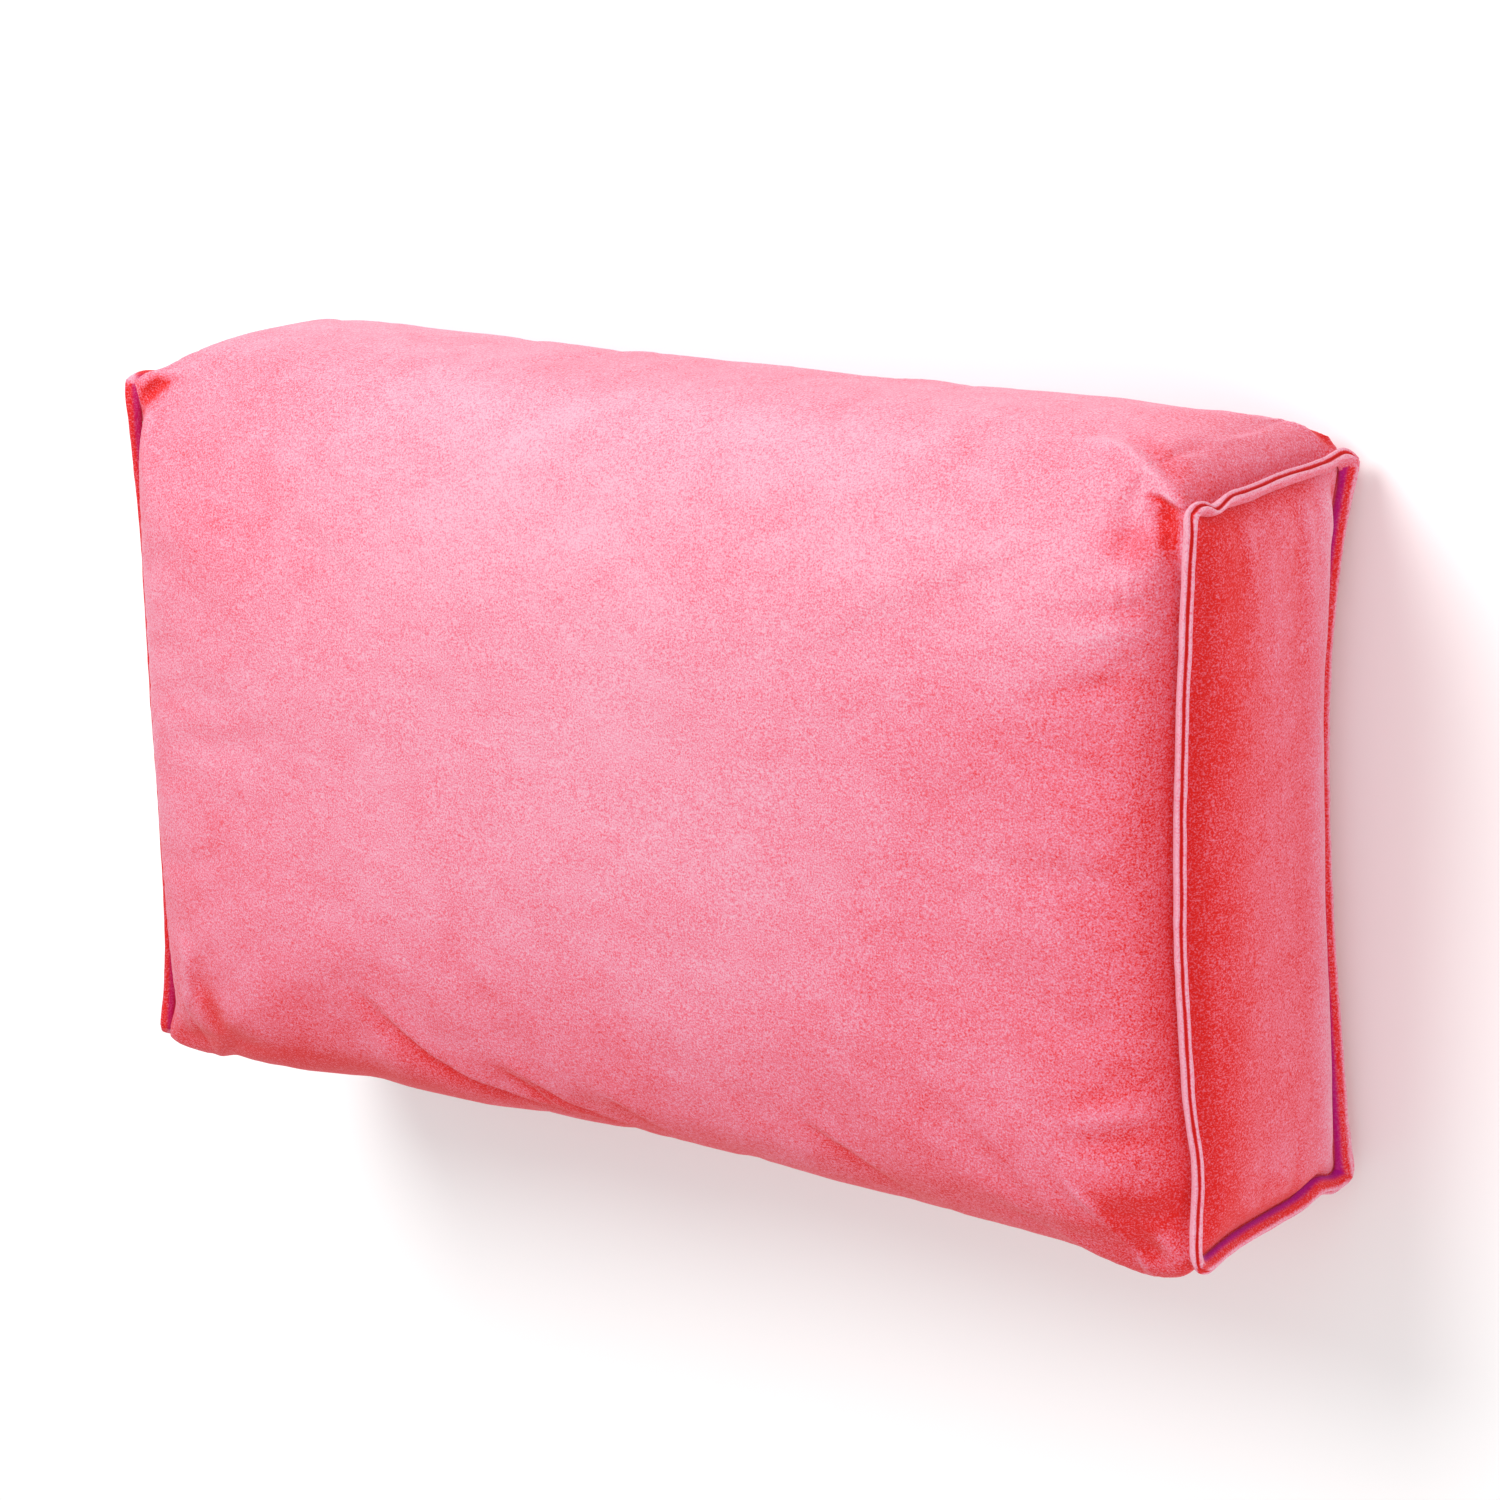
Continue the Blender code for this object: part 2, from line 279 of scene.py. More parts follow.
# Warps: soft pushes that every piece follows, so that cloth and seams stay together
warps = (
    # place, reach, push, all in mm
    ((271, 151, 125), 7, (-1.8, 1.6, 1.2)),
    ((275, 150, 110), 7.5, (0.3, -4.2, 0.0)),
    ((270, 146, 90), 16, (0.2, -1.2, 0.0)),
    ((-270, 149, 125), 13, (0.2, 3.0, 0.0)),
    ((-268, 0, 126), 85, (-2.0, 0.0, 1.0)),
    ((-256, -150, 122), 17, (0.0, -4.0, 0.5)),
    ((-215, -150, 126), 40, (0.0, -1.8, 0.3)),
    ((-90, -150, 120), 50, (0.0, -1.7, 0.0)),
    ((264, 156, 15), 11, (0.0, 2.6, -0.6)),
    ((270, 150, 12), 12, (0.0, 1.8, 0.0)),
    ((-268, -148, 125), 16, (-1.0, -2.2, 0.5)),
    ((268, -70, 126), 55, (2.5, 0, -1.45)),
    ((268, -112, 126), 23, (3.3, 0, -1.9)),
    ((266, -150, 124), 20, (1.3, -3.4, 0.2)),
    ((240, -154, 120), 22, (0.0, -1.8, 0.2)),
    ((270, -149, 12), 12, (0.5, 0.6, 0.0)),
    ((269, -147, 30), 8, (0.0, 4.4, 0.5)),
)


def warped(points):
    moved = points.copy()
    for place, reach, push in warps:
        amount = bell(distanceTo(points, inWorld(place)), reach)
        moved += amount[:, None] * np.array(push) * mm
    return moved


# Raised seams: two rounded lips with a groove between them
seamLook = {
    "crispEars": 0.75,      # how sharp the ears' mitres stay, 0 to 1
    "crispGroove": 0.9,
    "earTurn": 55.0,        # degrees, least turn at a mitre's edges
    "earEdge": 4.5,         # mm, longest edge of a mitre
    "grooveTurn": 22.0,     # degrees, least turn at the groove's edges
    "grooveOutward": 0.0003,    # how far the groove faces out and to its end, at least
    "grooveEndward": 0.2,
    "grooveDeeper": 1.5,    # mm
    # wander of the whole seam, slow and quick, and of its lips: mm, times per metre
    "waviness": 0.45, "wavesPerMetre": 24,
    "ripple": 0.2, "ripplesPerMetre": 95,
    "lipUnevenness": 0.22, "unevenPerMetre": 160,
    # how far the lips stand on the front, top, back and bottom runs, as a share
    "standShare": (1.0, 0.8, 1.0, 0.95),
    # how much painted shade, red and purple, the flank by the end panel gets on each run
    "flankPaintedShade": (0.2, 0.4, 0.85, 0.75),
    "flankPaintedPurple": (0.0, 0.0, 1.0, 0.8),
    # where these set in, in mm across the seam and up it
    "panelFlank": (-0.3, -1.5), "panelPaintedShadeBelow": (6.8, 5.2), "panelPaintedPurpleBelow": (4.0, 1.6),
    # the same for the left seam's flank by the wrap
    "wrapFlank": (0.1, 1.1), "wrapPaintedShadeBelow": (9.4, 7.6), "wrapPaintedPurpleBelow": (5.5, 3.0),
    "wrapFlankPaintedShade": 0.85, "wrapFlankPaintedPurple": 0.5,
}


def grooveAndEars(seam, side):
    # The groove is sunk, kept narrow and marked for its painted shade, and the mitres at the ears
    # stay crisp
    bm = bmesh.new()
    bm.from_mesh(seam.data)
    bm.normal_update()
    crease = bm.edges.layers.float.new("crease_edge")
    inGroove = bm.verts.layers.float.new("inGroove")
    middle = inWorld((0, 0, stitchLook["middleZ"]))
    grooveTurn, earTurn = (math.radians(seamLook[k]) for k in ("grooveTurn", "earTurn"))
    groove = set()
    for vert in bm.verts:
        hollow = [edge for edge in vert.link_edges
                  if not edge.is_convex and edge.calc_face_angle(0.0) > grooveTurn]
        away = vert.co - middle
        outward = (vert.normal.y * away.y / stitchLook["halfHeight"]
                   + vert.normal.z * away.z / stitchLook["halfDepth"])
        facesOut = outward > seamLook["grooveOutward"]
        if len(hollow) >= 2 and facesOut and vert.normal.x * side > seamLook["grooveEndward"]:
            groove.add(vert)
    for edge in bm.edges:
        if edge.verts[0] in groove and edge.verts[1] in groove:
            edge[crease] = seamLook["crispGroove"]
        elif edge.is_convex and edge.calc_face_angle(0.0) > earTurn:
            mitre = edge.calc_length() < seamLook["earEdge"] * mm
            edge[crease] = seamLook["crispEars"] if mitre else 0.0
    for vert in groove:
        vert[inGroove] = 1.0
        vert.co -= vert.normal * seamLook["grooveDeeper"] * mm
    bm.to_mesh(seam.data)
    bm.free()
    return len(groove)


def makeRaisedSeam(node, name, side):
    seam = copyOfSolid(node, name)
    found = grooveAndEars(seam, side)
    applyModifier(seam, "SUBSURF", "rounding", levels=2, render_levels=2)
    points = readPoints(seam)
    normals = readNormals(seam)
    near = nearestStitch(points, side)[1]
    off = (points - near[:, :3]) / mm
    stand = np.einsum("ij,ij->i", off, near[:, 3:6])
    lie = np.einsum("ij,ij->i", off, near[:, 6:9])
    run = near[:, 9].astype(int)
    standShare, flankPaintedShade, flankPaintedPurple = (
        np.array(seamLook[key])[run] for key in ("standShare", "flankPaintedShade", "flankPaintedPurple"))
    points -= near[:, 3:6] * ((1 - standShare) * np.maximum(stand - 1, 0) * mm)[:, None]
    # painted shade on the flanks: the one by the end panel, purple at its root, and on the left,
    # except at the back, the one by the wrap
    towardsPanel = easeBetween(*seamLook["panelFlank"], lie)
    paintedShading = towardsPanel * easeBetween(*seamLook["panelPaintedShadeBelow"], stand) * flankPaintedShade
    deep = towardsPanel * easeBetween(*seamLook["panelPaintedPurpleBelow"], stand) * flankPaintedPurple
    if side < 0:
        towardsWrap = easeBetween(*seamLook["wrapFlank"], lie) * (run != 2)
        towardsWrap *= easeBetween(*seamLook["wrapPaintedShadeBelow"], stand)
        atRoot = towardsWrap * easeBetween(*seamLook["wrapPaintedPurpleBelow"], stand)
        paintedShading = np.maximum(paintedShading, seamLook["wrapFlankPaintedShade"] * towardsWrap)
        deep = np.maximum(deep, seamLook["wrapFlankPaintedPurple"] * atRoot)
    points = warped(points)
    waves, ripples = seamLook["wavesPerMetre"], seamLook["ripplesPerMetre"]
    for axis in range(3):
        points[:, axis] += softNoise(points, waves, 3 + axis) * seamLook["waviness"] * mm
        points[:, axis] += softNoise(points, ripples, 13 + axis) * seamLook["ripple"] * mm
    uneven = softNoise(points, seamLook["unevenPerMetre"], 31)
    points += normals * (uneven * seamLook["lipUnevenness"] * mm)[:, None]
    points[:, 2] = np.maximum(points[:, 2], 0.0)
    writePoints(seam, points)
    writeValues(seam, "deep", deep)
    writeValues(seam, "redder", paintedShading)
    onlySelect(seam)
    bpy.ops.object.shade_smooth()
    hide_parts(node)
    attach(seam, "root")
    print(name, len(seam.data.polygons), "faces,", found, "groove points")
    return seam


seamLeft = makeRaisedSeam("raised_seam_left", "raisedSeamLeft", -1)
seamRight = makeRaisedSeam("raised_seam_right", "raisedSeamRight", 1)


# Wrap: the filled cloth, blown up a little with its ends held at the seams
wrapLook = {
    "shrinkFirst": 1.6,     # mm, made up for by the swelling
    "frames": 20,
    "mostMovement": 5.0,    # mm
    "slowKept": 0.1,        # share of the wide, slow swelling that is kept
    "wrinklesKept": 0.38,   # share of the narrower wrinkles
    "slowRounds": 120,
    "sewn": (3.6, 1.8),     # mm from a seam, where the cloth's edge runs into it
    "sewnPull": 0.9, "sewnOver": 0.5,
    "free": (5.0, 26.0),    # mm from a seam, from held to free
    "heldBeyond": 266.5,    # mm to the side
    "floorWithin": 0.2,     # mm, what lies on the floor and stays there
    # the filling's soft unevenness: mm, and the two sizes of its lumps, times per metre
    "lumps": 0.7, "lumpsPerMetre": 26, "smallLumps": 0.5, "smallLumpsPerMetre": 60,
    "crispFrom": 48.0,      # degrees, edges that stay crisp, at the ears
    # painted shade: the cloth turns redder next to the seams
    "paintedShadeBesideSeam": 0.16, "besideSeamBand": (14, 1),      # redder next to the seams
    # finer cells twice over: folds narrower than this in mm, within this share of their reach
    "finerCells": ((5.5, 1.3), (3.5, 0.9)),
}

clothSettings = {
    "quality": 4, "mass": 0.3, "tension_stiffness": 12, "compression_stiffness": 12,
    "shear_stiffness": 5, "bending_stiffness": 0.3,
    "use_pressure": True, "uniform_pressure_force": 4.0,
    "shrink_min": -0.02,    # the cloth is larger than its shape by this share
    "vertex_group_mass": "heldAtSeams",
}

# Folds of the wrap: path, half width and reach in mm, rise on the path, step, which lifts
# the cloth on the upper side of the path and sinks it on the lower, and how much painted shade,
# negative for painted light
wrapFolds = (
    # crease under the front that runs down to the right
    (((-128, -104, 147), (-112, -118, 144), (-99, -128, 141), (-85, -134, 137), (-58, -142, 130),
      (-30, -146, 124)),
     2.6, 10, -0.3, 1.8, 0.5),
    (((-60, -126, 140), (-51, -131, 138), (-44, -138, 133), (-38, -144, 127)),
     1.8, 6, -0.2, 0.9, 0.4),
    (((-53, -126, 140), (-33, -137, 134), (-17, -142, 128), (12, -147, 121)),
     2.2, 8, -0.3, 1.3, 0.45),
    (((-4, -128, 138), (10, -135, 134), (26, -143, 127)), 2.0, 7, -0.2, 0.8, 0.3),
    (((102, -116, 145), (124, -129, 140), (142, -142, 133)), 2.6, 8, -0.2, 0.9, 0.3),
    # painted shade along the lower edge towards the left
    (((-268, -147, 126), (-210, -148, 130), (-150, -147, 128), (-96, -148, 122)),
     9.0, 14, 0.0, 0.0, 0.55),
    # painted highlight on a slight rise where the front turns over to the top
    (((-66, 118, 144), (-33, 149.5, 132.5), (-5, 165, 113)), 9.0, 14, 0.5, 0.0, -0.14),
    # front's upper right ear: ridge, shade behind it, pinched loop, pocket, flap and shade, with
    # painted light on the rises and painted shade in the hollows
    (((214, 167, 105), (238.8, 162.1, 111.4), (251.2, 156.6, 116.5), (260.2, 151.9, 119.5),
      (266, 146.8, 120.5)),
     2.6, 9, 2.6, 0.0, -0.25),
    (((236, 165, 103), (252, 160, 109), (263, 153, 114)), 4.5, 9, -1.2, 0.0, 0.14),
    (((256, 151, 120.5), (262, 148.3, 121), (267, 145, 120)), 1.7, 4, 0.9, 0.0, -0.15),
    (((251, 150, 121), (257, 148.7, 121.5), (263, 145.8, 121.5), (268, 143, 120.5)),
     1.2, 3, -1.5, 0.0, 0.6),
    (((256, 146, 122.5), (260, 143.5, 123), (263.5, 138.5, 125), (264, 130, 125.5)),
     4.4, 9, -3.0, 0.0, 1.0),
    (((266.6, 140, 122.5), (267.8, 131, 121.5), (268, 121, 120.5)), 1.5, 4, 1.2, 0.0, -0.5),
    (((244, 141, 128), (252, 134, 133), (258, 125, 133)), 9.0, 14, -0.8, 0.0, 0.28),
    # front's upper left ear: ridge, pocket and strip of cloth beside it, with painted light on
    # ridge and strip and painted shade in the pocket
    (((-236, 158, 114), (-252, 154, 118), (-264, 149.5, 120.5)), 3.0, 8, 1.2, 0.0, -0.15),
    (((-265.5, 137, 123.5), (-264, 143, 122.5), (-259.5, 148, 121.5), (-252, 151.5, 120.5)),
     3.4, 7, -2.6, 0.0, 0.9),
    (((-268.5, 147, 122), (-269, 138, 122)), 1.6, 4, 0.8, 0.0, -0.2),
    # front's lower right ear: ridge and light bulge with painted light, and a dark band of painted
    # shade
    (((228, -115, 144.5), (239, -126.8, 143), (246, -137.8, 137), (250, -151, 124.6),
      (253, -158, 114)),
     2.4, 7, 1.6, 0.0, -0.3),
    (((243, -124, 142), (250, -130, 139), (258, -131, 135), (264, -128, 129), (267, -124, 124)),
     6.0, 12, -2.2, 0.0, 0.5),
    (((250, -134, 135), (254, -143, 128), (256.5, -150, 120)), 4.5, 9, -1.6, 0.0, 0.5),
    (((261.5, -138, 129), (264.5, -146, 122), (264, -152, 115)), 5.0, 10, 2.0, 0.0, -0.15),
    # front's lower left ear: light fold and shade, both painted
    (((-242, -94, 145), (-239, -108, 146), (-243, -124, 143), (-254, -136, 136)),
     4.0, 9, 2.0, 0.0, -0.15),
    (((-233, -110, 146), (-229, -125, 144.5), (-226, -136, 140.5), (-212, -141, 137)),
     7.5, 14, -1.8, 0.0, 0.42),
    # pocket at the back's upper right ear, with painted shade in it and painted light on its rim
    (((252, 164, 26), (261, 160, 22), (266, 154, 18)), 2.0, 5, 0.9, 0.0, -0.15),
    (((257, 161, 17), (264, 156, 14), (267, 150, 12)), 4.0, 9, -2.6, 0.0, 0.75),
    # cloth that swells over the left seam, painted lighter
    (((-263, 112, 131), (-260, 40, 136), (-260, -60, 136), (-262, -98, 134)),
     7.0, 12, 1.3, 0.0, -0.15),
    # short puckers beside the right seam, with painted shade in their hollows and painted light on
    # their rises
    (((222, 106, 144), (249, 110, 141), (261, 111, 132)), 3.6, 8, -0.9, 0.0, 0.14),
    (((232, 98, 145), (250, 101, 141), (261, 102, 132)), 3.6, 8, 0.6, 0.0, -0.1),
    (((222, 76, 146), (249, 81, 141), (261, 81, 131)), 4.2, 9, -0.8, 0.0, 0.12),
    (((228, -84, 146), (251, -78, 141), (262, -75, 130)), 4.5, 9, -0.8, 0.0, 0.12),
    (((226, -92, 146), (251, -88, 141), (263, -86, 129)), 4.0, 9, 0.9, 0.0, -0.12),
    (((230, -100, 146), (251, -99, 141), (262, -98, 130)), 4.0, 9, -0.7, 0.0, 0.12),
)

# How far the cloth is drawn out over the seam at each ear: side, top and front as signs
earShare = {(-1, 1, 1): 0.9, (-1, -1, 1): 0.85, (1, 1, 1): 0.25, (1, -1, 1): 0.45}
earPull = {"reach": 10, "push": (5.0, 6.0, 6.0), "elsewhere": 0.4}


def drawnOverEars(points, sewn):
    moved = points.copy()
    for ear, corner in zip(ears, earCorners):
        near = bell(distanceTo(points, corner), earPull["reach"])
        amount = near * (1 - sewn) * earShare.get(ear, earPull["elsewhere"])
        moved += amount[:, None] * (np.array(earPull["push"]) * ear) * mm
    return moved


# Painted shade: the front turns redder away from its upper middle, most of all towards the right
# seam, with painted light high up and painted shade on the top's right: how much, and the band in
# mm over which it sets in, to the side or in height
paintedFrontShade = {
    "right": (0.17, (40, 190)), "farRight": (0.07, (190, 256)), "lessHighUp": (0.55, (30, 130)),
    "left": (0.09, (-80, -230)),
    "below": (0.11, (10, -120)), "lessBelowRight": (0.9, (40, 210)),
    "lighterAbove": (0.12, (40, 125)), "aboveFrom": (-200, -60),
    "topRight": (0.1, (180, 262)),
    "facesFront": (0.1, 0.6), "facesTop": (0.4, 0.8),
}


def paintedShadeOfFront(points, normals):
    x, y = points[:, 0] / mm, points[:, 1] / mm

    def part(name, along):
        amount, band = paintedFrontShade[name]
        return amount * easeBetween(*band, along)

    shade = (part("right", x) + part("farRight", x)) * (1 - part("lessHighUp", y))
    shade += part("left", x) + part("below", y) * (1 - part("lessBelowRight", x))
    shade -= part("lighterAbove", y) * easeBetween(*paintedFrontShade["aboveFrom"], x)
    onTop = part("topRight", x) * easeBetween(*paintedFrontShade["facesTop"], normals[:, 1])
    return shade * easeBetween(*paintedFrontShade["facesFront"], normals[:, 2]) + onTop


# Folds move the cloth, paint shade into their hollows and paint light onto their rises
def folded(points, normals, folds):
    moved = points.copy()
    redder = np.zeros(len(points))
    for path, halfWidth, reach, rise, step, paintedShading in folds:
        distance, share, off, way = alongPath(points, path)
        fade = np.sin(np.pi * np.clip(share, 0.03, 0.97)) ** 0.6
        close, wide = bell(distance, halfWidth), bell(distance, reach)
        aside = np.einsum("ij,ij->i", np.cross(way, normals), off)
        side = np.tanh(-aside / (halfWidth * 0.5 * mm))
        lift = rise * close + step * side * wide
        moved += normals * (lift * fade * mm)[:, None]
        redder += paintedShading * fade * (close if step == 0 else wide * np.clip(-side, 0, 1))
    return moved, redder


def refineAlongFolds(piece, folds, narrowerThan, within):
    # Finer cells where narrow folds run
    points = readPoints(piece)
    close = np.zeros(len(points), bool)
    for path, halfWidth, reach, rise, step, paintedShading in folds:
        if halfWidth < narrowerThan:
            close |= alongPath(points, path)[0] < reach * within * mm
    onlySelect(piece)
    bpy.ops.object.mode_set(mode="EDIT")
    bpy.ops.mesh.select_mode(type="VERT")
    bpy.ops.mesh.select_all(action="DESELECT")
    bpy.ops.object.mode_set(mode="OBJECT")
    piece.data.vertices.foreach_set("select", close)
    bpy.ops.object.mode_set(mode="EDIT")
    bpy.ops.mesh.select_mode(type="FACE")
    bpy.ops.mesh.subdivide(number_cuts=1, smoothness=0.0, quadcorner="INNERVERT")
    bpy.ops.object.mode_set(mode="OBJECT")


def blownUp(wrap, before, free):
    # The cloth as its filling blows it up, without most of the wide, slow swelling
    writePoints(wrap, before)
    inward = readNormals(wrap) * (free * wrapLook["shrinkFirst"] * mm)[:, None]
    writePoints(wrap, before - inward)
    held = wrap.vertex_groups.new(name="heldAtSeams")
    for index, value in enumerate(1 - free):
        if value > 0:
            held.add([index], float(value), "REPLACE")
    filling = addModifier(wrap, "CLOTH", "filling")
    for key, value in clothSettings.items():
        setattr(filling.settings, key, value)
    filling.settings.effector_weights.gravity = 0
    filling.collision_settings.use_collision = False
    filling.point_cache.frame_start = 1
    filling.point_cache.frame_end = wrapLook["frames"]
    for step in range(wrapLook["frames"]):
        bpy.context.scene.frame_set(step + 1)
    onlySelect(wrap)
    bpy.ops.object.modifier_apply(modifier="filling")
    wrap.vertex_groups.clear()
    bpy.context.scene.frame_set(1)
    moved = readPoints(wrap) - before
    length = np.linalg.norm(moved, axis=1)
    mean, most = round(length.mean() / mm, 2), round(length.max() / mm, 2)
    print("filling moved the cloth by", mean, "mm, at most", most)
    slow = slowPart(wrap, moved, wrapLook["slowRounds"])
    moved = (moved - slow) * wrapLook["wrinklesKept"] + slow * wrapLook["slowKept"]
    length = np.linalg.norm(moved, axis=1)
    cap = wrapLook["mostMovement"] * mm
    shrink = cap * np.tanh(length / cap) / np.maximum(length, 1e-9)
    return before + moved * shrink[:, None]


def makeWrap():
    wrap = copyOfSolid("pillow_body", "plushWrap")
    sharpenEdges(wrap, wrapLook["crispFrom"])
    sharpenCorners(wrap)
    applyModifier(wrap, "SUBSURF", "fineCells", levels=2, render_levels=2)
    points = readPoints(wrap)
    fromSeam, near = nearestStitch(points)
    sewn = easeOver(wrapLook["sewn"], fromSeam)
    edge = near[:, :3] + near[:, 3:6] * wrapLook["sewnOver"] * mm
    points += (edge - points) * (sewn * wrapLook["sewnPull"])[:, None]
    points = warped(drawnOverEars(points, sewn))
    free = easeOver(wrapLook["free"], fromSeam)
    free[np.abs(points[:, 0]) > wrapLook["heldBeyond"] * mm] = 0.0
    onFloor = points[:, 2] < wrapLook["floorWithin"] * mm
    points = blownUp(wrap, points, free)
    points[:, 2] = np.where(onFloor, 0.0, np.maximum(points[:, 2], 0.0))
    writePoints(wrap, points)
    for narrowerThan, within in wrapLook["finerCells"]:
        refineAlongFolds(wrap, wrapFolds, narrowerThan, within)
    points = readPoints(wrap)
    normals = readNormals(wrap)
    onFloor = points[:, 2] < wrapLook["floorWithin"] * mm
    fromSeam = nearestStitch(points)[0]
    free = easeOver(wrapLook["free"], fromSeam)
    small = wrapLook["smallLumps"] * softNoise(points, wrapLook["smallLumpsPerMetre"], 17)
    lumps = softNoise(points, wrapLook["lumpsPerMetre"], 7) + small
    points += normals * (lumps * free * wrapLook["lumps"] * mm)[:, None]
    points, redder = folded(points, normals, wrapFolds)
    points[:, 2] = np.where(onFloor, 0.0, np.maximum(points[:, 2], 0.0))
    writePoints(wrap, points)
    onlySelect(wrap)
    bpy.ops.object.shade_smooth()
    # painted shade next to the seams, then the front's painted shade and light
    redder += wrapLook["paintedShadeBesideSeam"] * easeOver(wrapLook["besideSeamBand"], fromSeam)
    writeValues(wrap, "redder", redder + paintedShadeOfFront(points, normals))
    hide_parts("pillow_body")
    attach(wrap, "root")
    print("plushWrap", len(wrap.data.polygons), "faces")
    return wrap


wrap = makeWrap()


# End panels: crowned cloth with puckers that run in from the seams
panelLook = {
    "sewn": (4.5, 2.5), "sewnPull": 0.7,        # mm from the seam, as on the wrap
    "free": (3, 14),
    # puckers: their height in mm, how far they reach down from the top and up from the
    # bottom, how many per metre, and how they lean and wander
    "streaks": 1.8, "streakLength": 60.0, "bottomLength": 30.0, "bottomStreaks": 0.6,
    "streaksPerMetre": 115, "bottomStreaksPerMetre": 130, "streakLean": 0.12, "streakWander": 0.1,
    "lumps": 0.6, "lumpsPerMetre": 24, "smallLumps": 0.4, "smallLumpsPerMetre": 70,
    # painted shade towards the front, on the crown's shaded side, and next to the seams, painted
    # light towards the back and on the puckers
    "paintedShadeToFront": 0.32, "frontBand": (70, 122), "paintedLightToBack": 0.5, "backBand": (50, 17),
    "paintedShadeBesideSeam": 0.25, "besideSeamBand": (14, 1), "paintedLightOnStreaks": 0.22,
}

# Folds of the right end panel, which the left one has as a mirror image, with painted shade in the
# hollow and painted light on the two rises
panelFolds = (
    (((271, 140, 22), (272, 131, 18), (273, 124, 17)), 3.6, 7, -1.6, 0.0, 0.55),
    (((272, 141, 31), (273, 128, 26), (274, 116, 23)), 1.6, 5, 0.8, 0.0, -0.2),
    (((272, 133, 46), (274, 122, 37), (275, 110, 29)), 2.0, 6, 0.8, 0.0, -0.2),
)


def makeEndPanel(node, name, side):
    panel = copyOfSolid(node, name)
    sharpenCorners(panel)
    applyModifier(panel, "SUBSURF", "fineCells", levels=2, render_levels=2)
    points = readPoints(panel)
    fromSeam, near = nearestStitch(points, side)
    sewn = easeOver(panelLook["sewn"], fromSeam)
    points += (near[:, :3] - points) * (sewn * panelLook["sewnPull"])[:, None]
    free = easeOver(panelLook["free"], fromSeam)
    fromBottom, fromTop = points[:, 1] - points[:, 1].min(), points[:, 1].max() - points[:, 1]
    across = np.zeros((len(points), 3))
    across[:, 2] = points[:, 2] + fromTop * panelLook["streakLean"]
    across[:, 1] = points[:, 1] * panelLook["streakWander"]
    streaks = softNoise(across, panelLook["streaksPerMetre"], 5)
    streaks *= bell(fromTop, panelLook["streakLength"])
    atBottom = softNoise(across, panelLook["bottomStreaksPerMetre"], 9)
    atBottom *= bell(fromBottom, panelLook["bottomLength"])
    streaks += panelLook["bottomStreaks"] * atBottom
    flat = points * np.array((0, 1, 1))
    small = panelLook["smallLumps"] * softNoise(flat, panelLook["smallLumpsPerMetre"], 22)
    lumps = softNoise(flat, panelLook["lumpsPerMetre"], 21) + small
    push = streaks * panelLook["streaks"] + lumps * panelLook["lumps"]
    points = warped(points)
    points[:, 0] += side * push * free * mm
    outward = np.tile((side, 0.0, 0.0), (len(points), 1))
    folds = [([(side * x, y, z) for x, y, z in path], *rest) for path, *rest in panelFolds]
    points, redder = folded(points, outward, folds)
    writePoints(panel, points)
    onlySelect(panel)
    bpy.ops.object.shade_smooth()
    # painted shade towards the front and beside the seams, painted light towards the back and on
    # the puckers
    redder += panelLook["paintedShadeToFront"] * easeOver(panelLook["frontBand"], points[:, 2])
    redder -= panelLook["paintedLightToBack"] * easeOver(panelLook["backBand"], points[:, 2])
    redder += panelLook["paintedShadeBesideSeam"] * easeOver(panelLook["besideSeamBand"], fromSeam)
    redder -= panelLook["paintedLightOnStreaks"] * streaks * free
    writeValues(panel, "redder", redder)
    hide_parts(node)
    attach(panel, "root")
    print(name, len(panel.data.polygons), "faces")
    return panel


panelLeft = makeEndPanel("end_panel_left", "endPanelLeft", -1)
panelRight = makeEndPanel("end_panel_right", "endPanelRight", 1)


